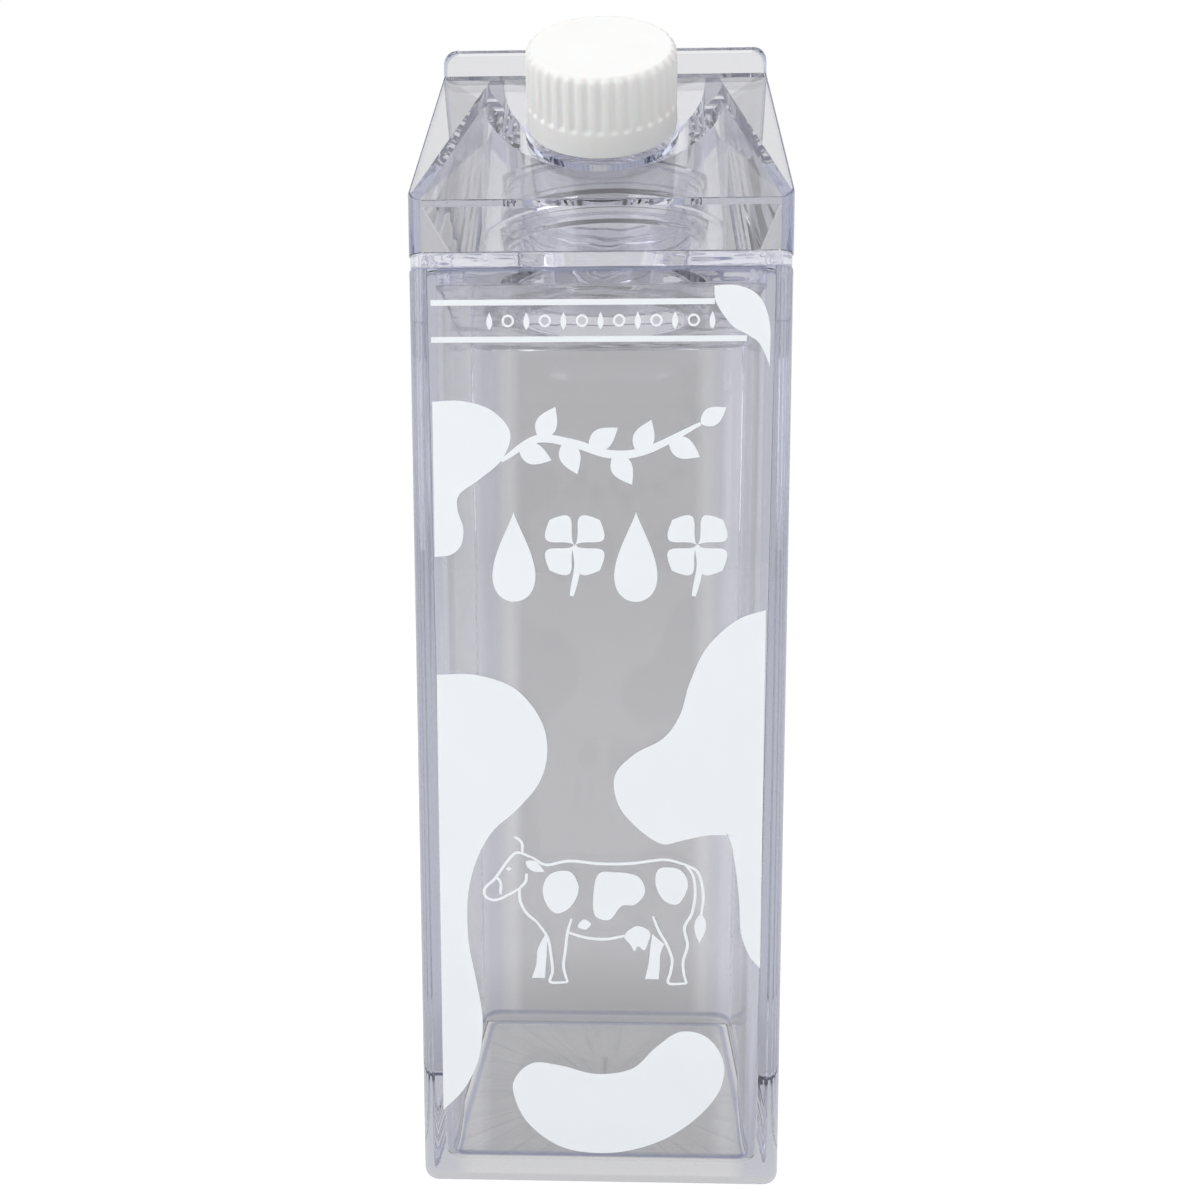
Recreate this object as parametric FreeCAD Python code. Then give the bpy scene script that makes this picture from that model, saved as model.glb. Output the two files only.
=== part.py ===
import FreeCAD, Part

import math
import os

from FreeCAD import Vector

# Clear acrylic bottle shaped like a gabled milk carton. Millimetres, +Z up. The origin is the centre
# of the underside of the box. The spout and its cap stand on the front slope of the roof, at -Y.

# Box: the square lower part, open at the top.
BOX_WIDTH = 72.0
BOX_HEIGHT = 180.0
BOX_WALL = 2.5
BOX_FLOOR = 3.2
EDGE_RADIUS = 3.2  # upright outer edges of the box and of the roof's skirt
FOOT_RADIUS = 2.2  # edge between the walls and the underside
HOLLOW_EDGE_RADIUS = 5.8  # upright inner edges of the box, at its open top
BOX_DRAFT = 1.5  # how much thicker the walls are at the floor, so that the moulding's core comes out
FLOOR_FILLET = 2.4  # where the walls meet the inner floor
GATE_RADIUS = 2.6  # moulding gate, a shallow round recess in the inner floor
GATE_DEPTH = 0.4

# Neck plate: closes the box and carries the wide threaded neck.
PLATE_THICKNESS = 2.75
PLATE_INSET = 0.25
PLUG_DEPTH = 2.8
PLUG_CLEARANCE = 0.05
NECK_RADIUS = 21.0
NECK_WALL = 2.3
NECK_HEADROOM = 1.0  # from the neck's rim up to the slopes' underside at the tube's wall
NECK_THREAD_PITCH = 4.6
NECK_THREAD_TURNS = 2.5
THREAD_DEPTH = 0.85
THREAD_ROOT_WIDTH = 1.7
THREAD_CREST_WIDTH = 0.8
THREAD_CLEARANCE = 0.35

# Roof: a hollow gabled lid with a skirt, folded-in gussets at both ends and a fin on its ridge.
SKIRT_HEIGHT = 9.25
ROOF_RISE = 36.5
ROOF_WALL = 2.3
FIN_THICKNESS = 3.0
FIN_HEIGHT = 5.5
FIN_LENGTH = 68.8
FIN_CORNER_RADIUS = 3.0
FIN_ROOT = 1.2
RIM_RADIUS = 0.6  # softens the outlines of the slopes and of the fin
GUSSET_APEX = 24.4  # from the middle of the ridge to the point of the gusset
TUBE_WALL = 4.2  # round tube inside the roof that screws onto the neck
TUBE_LEDGE = 0.9  # inward step that stops above the neck's rim
SEAT_CLEARANCE = 0.3

# Spout, square to the front slope.
SPOUT_PLACE = 25.0  # up the slope from the eave
SPOUT_RADIUS = 11.2
SPOUT_WALL = 2.2
SPOUT_THREAD_PITCH = 3.2
SPOUT_THREAD_TURNS = 1.5
COLLAR_MARGIN = 0.5  # beyond the cap
COLLAR_HEIGHT = 1.2
SPOUT_BORE_DEPTH = 6.0

# Cap: white screw cap with upright grip ribs above a plain band.
CAP_WALL = 2.3
CAP_TAPER = 0.5  # how much smaller the radius is at the top
CAP_HEIGHT = 14.0
CAP_LIFT = 2.0  # from the slope to the lower rim of the cap
CAP_TOP_THICKNESS = 1.8
CAP_EDGE_RADIUS = 1.3
CAP_BAND_HEIGHT = 4.6
RIB_COUNT = 36
RIB_GROOVE_RADIUS = 0.95
RIB_GROOVE_DEPTH = 0.5

# Sizes that follow from those above.
HALF = BOX_WIDTH / 2
CAVITY_TOP = BOX_HEIGHT - PLUG_DEPTH
ROOF_BASE = BOX_HEIGHT + PLATE_THICKNESS
EAVE = ROOF_BASE + SKIRT_HEIGHT
RIDGE = EAVE + ROOF_RISE
TOP = RIDGE + FIN_HEIGHT
SLOPE_RUN = HALF - FIN_THICKNESS / 2
SLOPE_ANGLE = math.atan2(ROOF_RISE, SLOPE_RUN)
SLOPE_RATE = ROOF_RISE / SLOPE_RUN
THREAD_REACH = NECK_RADIUS + THREAD_DEPTH
TUBE_BORE = THREAD_REACH + THREAD_CLEARANCE
TUBE_RADIUS = TUBE_BORE + TUBE_WALL
TUBE_UPPER_BORE = TUBE_BORE - TUBE_LEDGE
UNDERSIDE_DROP = ROOF_WALL / math.cos(SLOPE_ANGLE)  # straight down from a slope to its underside
HOLLOW_APEX = EAVE + HALF * SLOPE_RATE - UNDERSIDE_DROP
NECK_TOP = HOLLOW_APEX - TUBE_BORE * SLOPE_RATE - NECK_HEADROOM
GUSSET_LEAN = math.atan2(HALF - GUSSET_APEX, HOLLOW_APEX - EAVE)
GUSSET_SHIFT = ROOF_WALL / math.cos(GUSSET_LEAN)
CAP_BORE = SPOUT_RADIUS + THREAD_DEPTH + THREAD_CLEARANCE
CAP_RADIUS = CAP_BORE + CAP_WALL
CAP_TOP_RADIUS = CAP_RADIUS - CAP_TAPER
COLLAR_RADIUS = CAP_RADIUS + COLLAR_MARGIN


def rounded_prism(width, radius, bottom, top):
    """Square prism about the Z axis with rounded upright edges."""
    side = width / 2
    block = Part.makeBox(width, width, top - bottom, Vector(-side, -side, bottom))
    upright = [edge for edge in block.Edges if abs(edge.tangentAt(edge.FirstParameter).z) > 0.5]
    return block.makeFillet(radius, upright)


def rounded_outline(width, radius, height):
    """Level square outline about the Z axis, with rounded corners."""
    half = width / 2
    inner = half - radius
    bend = inner + radius * math.sqrt(0.5)
    edges = []
    for turn in range(4):
        side = Part.LineSegment(Vector(half, -inner, height), Vector(half, inner, height)).toShape()
        corner = Part.Arc(Vector(half, inner, height), Vector(bend, bend, height), Vector(inner, half, height)).toShape()
        for edge in (side, corner):
            edge.rotate(Vector(0, 0, 0), Vector(0, 0, 1), 90 * turn)
            edges.append(edge)
    return Part.Wire(edges)


def horizontal_edges_at(shape, height):
    """The edges of a shape that lie wholly at one height."""
    return [
        edge
        for edge in shape.Edges
        if abs(edge.BoundBox.ZMin - height) < 0.001 and abs(edge.BoundBox.ZMax - height) < 0.001
    ]


def slope_edges(shape):
    """Outlines of both slopes, without their level lines along the ridge."""
    edges = []
    for face in shape.Faces:
        normal = face.normalAt(0, 0)
        leans = abs(abs(normal.y) - math.sin(SLOPE_ANGLE)) < 0.001 and normal.z > 0.1
        if leans and face.BoundBox.ZMin > EAVE - 0.001:
            edges += [edge for edge in face.OuterWire.Edges if edge.BoundBox.ZMin < RIDGE - 0.001]
    return edges


def upright_cylinder(radius, bottom, top):
    """Cylinder about the Z axis."""
    return Part.makeCylinder(radius, top - bottom, Vector(0, 0, bottom))


def extruded(points, along):
    """Prism on the closed outline through the points, drawn out by the vector."""
    wire = Part.makePolygon(points + points[:1])
    return Part.Face(wire).extrude(along)


def side_prism(outline):
    """Prism as wide as the bottle on an outline of (y, z) points."""
    points = [Vector(-HALF, y, z) for y, z in outline]
    return extruded(points, Vector(BOX_WIDTH, 0, 0))


def front_prism(outline):
    """Prism as deep as the bottle on an outline of (x, z) points."""
    points = [Vector(x, -HALF, z) for x, z in outline]
    return extruded(points, Vector(0, BOX_WIDTH, 0))


def thread_ridge(radius, direction, pitch, turns, bottom):
    """Helical ridge on a cylinder: outwards with direction 1, inwards with direction -1."""
    helix = Part.makeHelix(pitch, pitch * turns, radius)
    root = radius - direction * THREAD_DEPTH / 3
    crest = radius + direction * THREAD_DEPTH
    section = Part.makePolygon(
        [
            Vector(root, 0, -THREAD_ROOT_WIDTH / 2),
            Vector(crest, 0, -THREAD_CREST_WIDTH / 2),
            Vector(crest, 0, THREAD_CREST_WIDTH / 2),
            Vector(root, 0, THREAD_ROOT_WIDTH / 2),
            Vector(root, 0, -THREAD_ROOT_WIDTH / 2),
        ]
    )
    ridge = Part.Wire(helix).makePipeShell([section], True, True)
    ridge.translate(Vector(0, 0, bottom))
    return ridge


def on_front_slope(shape):
    """Moves a shape from the Z axis to the spout's place, square to the front slope."""
    foot = Vector(0, -HALF + SPOUT_PLACE * math.cos(SLOPE_ANGLE), EAVE + SPOUT_PLACE * math.sin(SLOPE_ANGLE))
    lean = FreeCAD.Rotation(Vector(1, 0, 0), math.degrees(SLOPE_ANGLE))
    placed = shape.copy()
    placed.Placement = FreeCAD.Placement(foot, lean).multiply(shape.Placement)
    return placed


def make_box():
    """Square box with rounded edges and a filleted inner floor, open at the top."""
    outside = rounded_prism(BOX_WIDTH, EDGE_RADIUS, 0, BOX_HEIGHT)
    outside = outside.makeFillet(FOOT_RADIUS, horizontal_edges_at(outside, 0))
    hollow_width = BOX_WIDTH - 2 * BOX_WALL
    low = rounded_outline(hollow_width - 2 * BOX_DRAFT, HOLLOW_EDGE_RADIUS - BOX_DRAFT, BOX_FLOOR)
    high = rounded_outline(hollow_width, HOLLOW_EDGE_RADIUS, BOX_HEIGHT)
    hollow = Part.makeLoft([low, high], True, True)
    hollow = hollow.makeFillet(FLOOR_FILLET, horizontal_edges_at(hollow, BOX_FLOOR))
    gate = upright_cylinder(GATE_RADIUS, BOX_FLOOR - GATE_DEPTH, BOX_HEIGHT)
    return outside.cut(hollow).cut(gate)


def make_neck_plate():
    """Square plate that plugs the box, with the round threaded neck standing on it."""
    plate_width = BOX_WIDTH - 2 * PLATE_INSET
    plug_width = BOX_WIDTH - 2 * (BOX_WALL + PLUG_CLEARANCE)
    plate = rounded_prism(plate_width, EDGE_RADIUS - PLATE_INSET, BOX_HEIGHT, ROOF_BASE)
    plug = rounded_prism(plug_width, HOLLOW_EDGE_RADIUS, CAVITY_TOP, BOX_HEIGHT)
    neck = upright_cylinder(NECK_RADIUS, ROOF_BASE, NECK_TOP)
    bore = upright_cylinder(NECK_RADIUS - NECK_WALL, CAVITY_TOP, NECK_TOP)
    solid = plate.fuse(plug).fuse(neck).cut(bore)
    thread_bottom = NECK_TOP - NECK_THREAD_PITCH * NECK_THREAD_TURNS - THREAD_ROOT_WIDTH
    ridge = thread_ridge(NECK_RADIUS, 1, NECK_THREAD_PITCH, NECK_THREAD_TURNS, thread_bottom)
    return solid.fuse(ridge)


def make_fin():
    """Upright plate along the ridge, rooted in it, with rounded upper corners and softened outlines."""
    end = FIN_LENGTH / 2
    half_fin = FIN_THICKNESS / 2
    root = RIDGE - FIN_ROOT
    plate = Part.makeBox(FIN_LENGTH, FIN_THICKNESS, TOP - root, Vector(-end, -half_fin, root))
    corners = [edge for edge in plate.Edges if edge.BoundBox.YLength > 1 and edge.BoundBox.ZMin > RIDGE]
    plate = plate.makeFillet(FIN_CORNER_RADIUS, corners)
    outline = [edge for edge in plate.Edges if edge.BoundBox.YLength < 0.001 and edge.BoundBox.ZMax > RIDGE]
    return plate.makeFillet(RIM_RADIUS, outline)


def roof_envelope():
    """Outer shape of the roof before its gussets are folded in."""
    half_fin = FIN_THICKNESS / 2
    end = FIN_LENGTH / 2
    gable = side_prism(
        [
            (-HALF, ROOF_BASE),
            (HALF, ROOF_BASE),
            (HALF, EAVE),
            (half_fin, RIDGE),
            (-half_fin, RIDGE),
            (-HALF, EAVE),
        ]
    )
    taper = front_prism(
        [(-HALF, ROOF_BASE), (HALF, ROOF_BASE), (HALF, EAVE), (end, RIDGE), (-end, RIDGE), (-HALF, EAVE)]
    )
    envelope = rounded_prism(BOX_WIDTH, EDGE_RADIUS, ROOF_BASE, RIDGE).common(gable).common(taper)
    return envelope.makeFillet(RIM_RADIUS, slope_edges(envelope)).fuse(make_fin())


def under_slopes(bottom):
    """Space under both slopes, one roof wall below them, down to a height."""
    side = HALF - BOX_WALL
    shoulder = EAVE + BOX_WALL * SLOPE_RATE - UNDERSIDE_DROP
    return side_prism([(-side, bottom), (side, bottom), (side, shoulder), (0, HOLLOW_APEX), (-side, shoulder)])


def gusset_pits():
    """The two folded-in ends: the space between the slopes outside the leaning end walls."""
    top = HOLLOW_APEX
    pits = []
    for side in (-1, 1):
        outline = [(side * HALF, EAVE), (side * GUSSET_APEX, top), (side * HALF, top)]
        pits.append(front_prism(outline).common(under_slopes(ROOF_BASE)))
    return pits


def roof_hollow():
    """Space inside the roof's walls, round its tube and inside the tube."""
    side = HALF - BOX_WALL
    bend = EAVE + (BOX_WALL - GUSSET_SHIFT) / math.tan(GUSSET_LEAN)
    apex = GUSSET_APEX - GUSSET_SHIFT
    ends = front_prism(
        [
            (-side, ROOF_BASE),
            (side, ROOF_BASE),
            (side, bend),
            (apex, HOLLOW_APEX),
            (-apex, HOLLOW_APEX),
            (-side, bend),
        ]
    )
    inside = under_slopes(ROOF_BASE).common(ends)
    ledge = NECK_TOP + SEAT_CLEARANCE
    tube = upright_cylinder(TUBE_RADIUS, ROOF_BASE + SEAT_CLEARANCE, TOP)
    tube = tube.cut(upright_cylinder(TUBE_BORE, ROOF_BASE, ledge))
    tube = tube.cut(upright_cylinder(TUBE_UPPER_BORE, ledge, TOP))
    return inside.cut(tube)


def make_roof():
    """Hollow gabled lid with its tube, inner thread, spout and collar."""
    solid = roof_envelope()
    for pit in gusset_pits():
        solid = solid.cut(pit)
    solid = solid.cut(roof_hollow())
    spout_top = CAP_LIFT + CAP_HEIGHT - CAP_TOP_THICKNESS
    spout = upright_cylinder(SPOUT_RADIUS, -ROOF_WALL / 2, spout_top)
    collar = upright_cylinder(COLLAR_RADIUS, -ROOF_WALL / 2, COLLAR_HEIGHT)
    spout_thread_bottom = spout_top - SPOUT_THREAD_PITCH * SPOUT_THREAD_TURNS - THREAD_ROOT_WIDTH
    spout_ridge = thread_ridge(SPOUT_RADIUS, 1, SPOUT_THREAD_PITCH, SPOUT_THREAD_TURNS, spout_thread_bottom)
    bore = upright_cylinder(SPOUT_RADIUS - SPOUT_WALL, -SPOUT_BORE_DEPTH, spout_top)
    solid = solid.fuse(on_front_slope(collar)).fuse(on_front_slope(spout)).cut(on_front_slope(bore))
    solid = solid.fuse(on_front_slope(spout_ridge))
    thread_bottom = NECK_TOP - NECK_THREAD_PITCH * (NECK_THREAD_TURNS - 0.5) - THREAD_ROOT_WIDTH
    turns = NECK_THREAD_TURNS - 1
    inner_ridge = thread_ridge(TUBE_BORE, -1, NECK_THREAD_PITCH, turns, thread_bottom)
    return solid.fuse(inner_ridge)


def make_cap():
    """White screw cap with grip grooves, standing on the spout's rim."""
    inner_top = CAP_HEIGHT - CAP_TOP_THICKNESS
    solid = Part.makeCone(CAP_RADIUS, CAP_TOP_RADIUS, CAP_HEIGHT)
    solid = solid.makeFillet(CAP_EDGE_RADIUS, horizontal_edges_at(solid, CAP_HEIGHT))
    solid = solid.cut(upright_cylinder(CAP_BORE, 0, inner_top))
    lean = math.atan2(CAP_TAPER, CAP_HEIGHT)
    start = CAP_RADIUS - CAP_BAND_HEIGHT * math.tan(lean) + RIB_GROOVE_RADIUS - RIB_GROOVE_DEPTH
    direction = Vector(-math.sin(lean), 0, math.cos(lean))
    grooves = []
    for index in range(RIB_COUNT):
        groove = Part.makeCylinder(
            RIB_GROOVE_RADIUS, CAP_HEIGHT, Vector(start, 0, CAP_BAND_HEIGHT), direction
        )
        groove.rotate(Vector(0, 0, 0), Vector(0, 0, 1), index * 360 / RIB_COUNT)
        grooves.append(groove)
    solid = solid.cut(Part.makeCompound(grooves))
    solid.translate(Vector(0, 0, CAP_LIFT))
    return on_front_slope(solid)


def main():
    os.makedirs("parts", exist_ok=True)
    nodes = {
        "box": make_box(),
        "neck_plate": make_neck_plate(),
        "roof": make_roof(),
        "cap": make_cap(),
    }
    for name, shape in nodes.items():
        solid = shape.Solids[0]
        print(name, "solids", len(shape.Solids), "valid", shape.isValid(), "volume", round(solid.Volume))
        solid.exportStep("parts/" + name + ".step")


main()
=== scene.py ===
"""A clear acrylic drinks bottle in the form of a gabled milk carton, with a white screw cap."""

import math

import bmesh
import bpy
import numpy as np
from bpy.props import FloatProperty, IntProperty, PointerProperty, StringProperty
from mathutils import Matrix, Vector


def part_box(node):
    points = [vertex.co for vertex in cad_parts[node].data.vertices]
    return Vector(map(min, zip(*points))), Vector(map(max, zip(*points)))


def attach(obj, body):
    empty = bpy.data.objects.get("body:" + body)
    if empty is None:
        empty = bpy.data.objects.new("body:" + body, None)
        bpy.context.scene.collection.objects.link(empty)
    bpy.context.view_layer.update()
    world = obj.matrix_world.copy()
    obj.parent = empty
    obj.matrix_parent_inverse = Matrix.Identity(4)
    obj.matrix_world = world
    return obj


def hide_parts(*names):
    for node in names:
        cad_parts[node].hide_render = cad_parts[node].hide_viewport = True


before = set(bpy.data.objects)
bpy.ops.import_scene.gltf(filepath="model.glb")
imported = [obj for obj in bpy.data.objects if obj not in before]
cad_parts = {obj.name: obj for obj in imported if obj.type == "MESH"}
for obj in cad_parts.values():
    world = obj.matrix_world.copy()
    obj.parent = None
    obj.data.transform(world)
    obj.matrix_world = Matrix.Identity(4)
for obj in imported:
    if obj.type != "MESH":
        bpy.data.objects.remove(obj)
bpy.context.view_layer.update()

bl_info = {
    "name": "Carton Bottle",
    "version": (1, 0, 0),
    "blender": (4, 5, 0),
    "location": "3D View > Sidebar > Carton Bottle",
    "description": "Builds a clear carton-shaped bottle with its cap, its print and a small studio",
    "category": "Add Mesh",
}

MM = 0.001
BOX_LOW, BOX_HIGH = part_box("box")
NECK_LOW, NECK_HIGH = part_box("neck_plate")
ROOF_LOW, ROOF_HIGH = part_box("roof")
WIDTH = BOX_HIGH[0] - BOX_LOW[0]
HALF = WIDTH / 2
BOX_TOP = BOX_HIGH[2]
PLUG_BOTTOM = NECK_LOW[2]
NECK_TOP = NECK_HIGH[2]
ROOF_BASE = ROOF_LOW[2]
ROOF_TOP = ROOF_HIGH[2]


def linear(code):
    """An sRGB hex colour such as #F0F5FA as linear red, green, blue and 1."""
    parts = np.array([int(code[i : i + 2], 16) for i in (1, 3, 5)]) / 255
    curve = np.where(parts <= 0.04045, parts / 12.92, ((parts + 0.055) / 1.055) ** 2.4)
    return (*curve.tolist(), 1.0)


def dim(colour, share):
    """A linear colour made darker."""
    return (*(share * part for part in colour[:3]), 1.0)


def length(name, description, default):
    """A property for a length in metres."""
    return FloatProperty(name=name, description=description, default=default, unit="LENGTH", precision=5)


def number(name, description, default):
    """A property for a plain number."""
    return FloatProperty(name=name, description=description, default=default)


def hex_colour(name, description, default):
    """A property for a colour written as an sRGB hex code."""
    return StringProperty(name=name, description=description, default=default, maxlen=7)


class BottleSizes(bpy.types.PropertyGroup):
    """Sizes of the clear mouldings that the frame doesn't give."""

    wall: length("Wall", "Thickness of the box's walls", 2.5 * MM)
    floor: length("Floor", "Thickness of the box's floor", 3.2 * MM)
    edge: length("Edge radius", "Outer radius of the upright edges", 3.2 * MM)
    inner_edge: length("Inner edge radius", "Inner radius of the upright edges", 5.8 * MM)
    foot: length("Foot radius", "Radius between the walls and the underside", 2.2 * MM)
    fillet: length("Floor fillet", "Radius between the walls and the inner floor", 2.4 * MM)
    draft: length("Draft", "How much thicker the box's walls are at its floor", 1.5 * MM)
    lip: length("Lip radius", "Softening of moulded lips and rims", 0.25 * MM)
    gate: length("Gate radius", "Radius of the round moulding mark in the floor", 2.6 * MM)
    gate_depth: length("Gate depth", "Depth of the moulding mark", 0.4 * MM)
    inset: length("Plate inset", "How far the neck plate stands in from the box", 0.25 * MM)
    seam: length("Seam", "Air gap where two mouldings meet", 0.03 * MM)
    neck_radius: length("Neck radius", "Outer radius of the neck under its thread", 21.0 * MM)
    neck_wall: length("Neck wall", "Thickness of the neck", 2.3 * MM)
    pitch: length("Thread pitch", "Rise of the neck's thread in one turn", 4.6 * MM)
    thread_depth: length("Thread depth", "How far the thread stands out", 0.85 * MM)
    tube: length("Tube radius", "Outer radius of the tube inside the roof", 26.8 * MM)
    turns: number("Thread turns", "Turns of the neck's thread", 2.5)


class CapSizes(bpy.types.PropertyGroup):
    """Sizes and place of the screw cap."""

    place: length("Place", "Distance of the cap's centre up the slope from the eave", 25.0 * MM)
    lift: length("Lift", "Height of the cap's lower rim above the slope", 2.0 * MM)
    radius: length("Radius", "Radius of the plain band", 14.7 * MM)
    taper: length("Taper", "How much smaller the radius is at the top", 0.5 * MM)
    height: length("Height", "Height of the cap", 14.0 * MM)
    band: length("Band", "Height of the plain band", 4.6 * MM)
    edge: length("Edge radius", "Radius of the top edge", 1.3 * MM)
    bore: length("Bore", "Radius of the hollow over the spout", 12.4 * MM)
    top: length("Top thickness", "Thickness of the top", 1.8 * MM)
    groove: length("Groove depth", "Depth of the grooves between the ribs", 0.5 * MM)
    ribs: IntProperty(name="Ribs", description="Number of grip ribs", default=36, min=3)
    skirt: length("Skirt height", "Height of the roof's upright skirt", 9.25 * MM)
    rise: length("Roof rise", "Height of the slope from the eave to the ridge", 36.5 * MM)
    fin: length("Fin thickness", "Thickness of the fin on the ridge", 3.0 * MM)


class PrintSizes(bpy.types.PropertyGroup):
    """Sizes of the print on the front."""

    side: length("Half width", "From the middle to the cut sides of the print", 31.5 * MM)
    film: length("Ink thickness", "Thickness of the ink", 0.03 * MM)
    gap: length("Gap", "From the wall to the back of the ink", 0.02 * MM)
    step: length("Step", "How much further out each patch of ink lies than the one before", 0.0003 * MM)
    stripe: length("Stripe", "Height of each stripe", 1.05 * MM)
    line: length("Line", "Width of a drawn line", 0.55 * MM)


class BottleColours(bpy.types.PropertyGroup):
    """Colours of the materials, as sRGB hex codes."""

    # body: a faint grey of the plastic and, mostly, painted shade for the darker surroundings seen through
    # the walls
    body: hex_colour("Body", "Tint of the box's flat walls", "#D3D3D5")
    # base: painted shade under the box, darker than the walls
    base: hex_colour("Base", "Tint of the underside", "#BBBBC0")
    # seam: painted shade along fillets and rounded rims, in the plastic's violet
    seam: hex_colour("Seam", "Tint of tight fillets and of rounded rims", "#A6ABC8")
    # slope: painted shade on the roof's slopes, darker than on its upright walls
    slope: hex_colour("Slope", "Tint of the roof's two slopes", "#CFCFD2")
    # roof: lighter painted shade on the roof's upright walls and fin
    roof: hex_colour("Roof", "Tint of the roof's upright walls and fin", "#E2E2E4")
    # clear: nearly no painted shade; on the inner floor's fillet it paints a highlight line
    clear: hex_colour("Clear", "Tint of the corners, folds and tube, nearly colourless", "#FAFAFC")
    # edge: painted shade along the outer upright edges, in the plastic's violet
    edge: hex_colour("Edge", "Tint of the outer upright edges", "#B6B8C4")
    # plate: little painted shade on the neck and its plate
    plate: hex_colour("Plate", "Tint of the neck and its plate", "#F3F3F8")
    depth: hex_colour("Depth", "Tint that builds up where light runs through the plastic", "#BFC0CD")
    ink: hex_colour("Ink", "The print's white", "#F2F6FA")
    cap: hex_colour("Cap", "The cap's white", "#F3F3F2")
    studio: hex_colour("Studio", "Floor and surroundings", "#FFFFFF")


class StudioSizes(bpy.types.PropertyGroup):
    """The camera and the lights."""

    distance: length("Camera distance", "From the front face to the camera", 2.742 * WIDTH)
    height: length("Camera height", "From the floor to the camera", 1.779 * WIDTH)
    lens: number("Lens", "Focal length in millimetres", 31.1)
    tilt: FloatProperty(
        name="Tilt", description="How far the camera looks down", default=math.radians(5.83), subtype="ANGLE"
    )
    side: length("Camera side", "How far the camera stands to the right", 5.5 * MM)
    shift: number("Shift", "Upward shift of the camera's film", 0.0458)
    room: length("Room", "Half the width of the floor", 4.0)
    key: number("Left light", "Power of the left softbox in watts", 8.8)
    fill: number("Right light", "Power of the right softbox in watts", 4.5)
    upper: number("Upper light", "Power of the top softbox in watts", 2.4)
    ambient: number("Ambient", "Strength of the light from all round", 0.42)


def add(tree, kind, settings=None, links=None):
    """Adds a node, sets its properties or input values by name or number, and links its inputs."""
    made = tree.nodes.new(kind)
    for key, value in (settings or {}).items():
        if isinstance(key, int) or key in made.inputs:
            made.inputs[key].default_value = value
        else:
            setattr(made, key, value)
    for key, socket in (links or {}).items():
        tree.links.new(socket, made.inputs[key])
    return made


def new_object(name, data):
    """A new object in the scene."""
    made = bpy.data.objects.new(name, data)
    bpy.context.scene.collection.objects.link(made)
    return made


def empty_material(name):
    """A material with no nodes but its output, and that output."""
    made = bpy.data.materials.get(name) or bpy.data.materials.new(name)
    made.use_nodes = True
    made.node_tree.nodes.clear()
    return made, made.node_tree, add(made.node_tree, "ShaderNodeOutputMaterial")


def cloudy(tree, place, scale, colour, share):
    """A colour that darkens to a share of itself in soft clouds, one metre divided by the scale apart."""
    cloud = add(tree, "ShaderNodeTexNoise", {"Scale": scale, "Detail": 2.0}, {"Vector": place})
    mix = {"data_type": "RGBA", 6: dim(colour, share), 7: colour}
    return add(tree, "ShaderNodeMix", mix, {0: cloud.outputs["Fac"]}).outputs[2]


def acrylic(name, waves=0.02, scale=40.0, density=5.0):
    """Acrylic (PMMA), injection-moulded in a polished tool.

    The eye sees nearly clear flats, greyish violet where light runs a long way through the plastic, a
    mirror gloss, and the slow waves that the flowing melt leaves, one metre divided by the scale apart:
    25 mm in the box, 12 mm in the roof and 9 mm in the neck. Waves is their strength, and density how
    fast the violet builds up. The colour of each place comes from the piece's tint_and_shade attribute:
    a faint grey of the plastic and, mostly, painted shade that stands in for the darker surroundings
    seen through it.
    """
    wave_height, haze_limit = 0.4 * MM, 0.003
    colours = bpy.context.scene.bottle_colours
    made, tree, output = empty_material(name)
    depth = add(tree, "ShaderNodeVolumeAbsorption", {"Color": linear(colours.depth), "Density": density})
    tree.links.new(depth.outputs["Volume"], output.inputs["Volume"])
    place = add(tree, "ShaderNodeTexCoord").outputs["Object"]
    flow = add(tree, "ShaderNodeTexNoise", {"Scale": scale, "Detail": 1.0}, {"Vector": place})
    flow = flow.outputs["Fac"]
    haze = add(tree, "ShaderNodeMapRange", {"To Min": 0.0, "To Max": haze_limit}, {"Value": flow})
    wave = add(tree, "ShaderNodeBump", {"Strength": waves, "Distance": wave_height}, {"Height": flow})
    # painted shade: this attribute greys what is seen through the plastic, standing in for darker
    # surroundings
    tint_and_shade = add(tree, "ShaderNodeAttribute", {"attribute_name": "tint_and_shade"}).outputs["Color"]
    shader = add(
        tree,
        "ShaderNodeBsdfPrincipled",
        {"IOR": 1.49, "Transmission Weight": 1.0},
        {"Base Color": tint_and_shade, "Roughness": haze.outputs["Result"], "Normal": wave.outputs["Normal"]},
    )
    shadow = add(tree, "ShaderNodeLightPath").outputs["Is Shadow Ray"]
    through = add(tree, "ShaderNodeBsdfTransparent", {}, {"Color": tint_and_shade})
    links = {0: shadow, 1: shader.outputs["BSDF"], 2: through.outputs["BSDF"]}
    both = add(tree, "ShaderNodeMixShader", {}, links)
    tree.links.new(both.outputs[0], output.inputs["Surface"])
    return made


def give_tint_and_shade(mesh, tints_and_shades, domain="POINT"):
    """Stores the plastic's faint grey with its painted shade, one linear colour for each point or face."""
    colours = np.column_stack([tints_and_shades, np.ones(len(tints_and_shades))]).astype(np.float32)
    mesh.attributes.new("tint_and_shade", "FLOAT_COLOR", domain).data.foreach_set("color", colours.reshape(-1))


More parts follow.
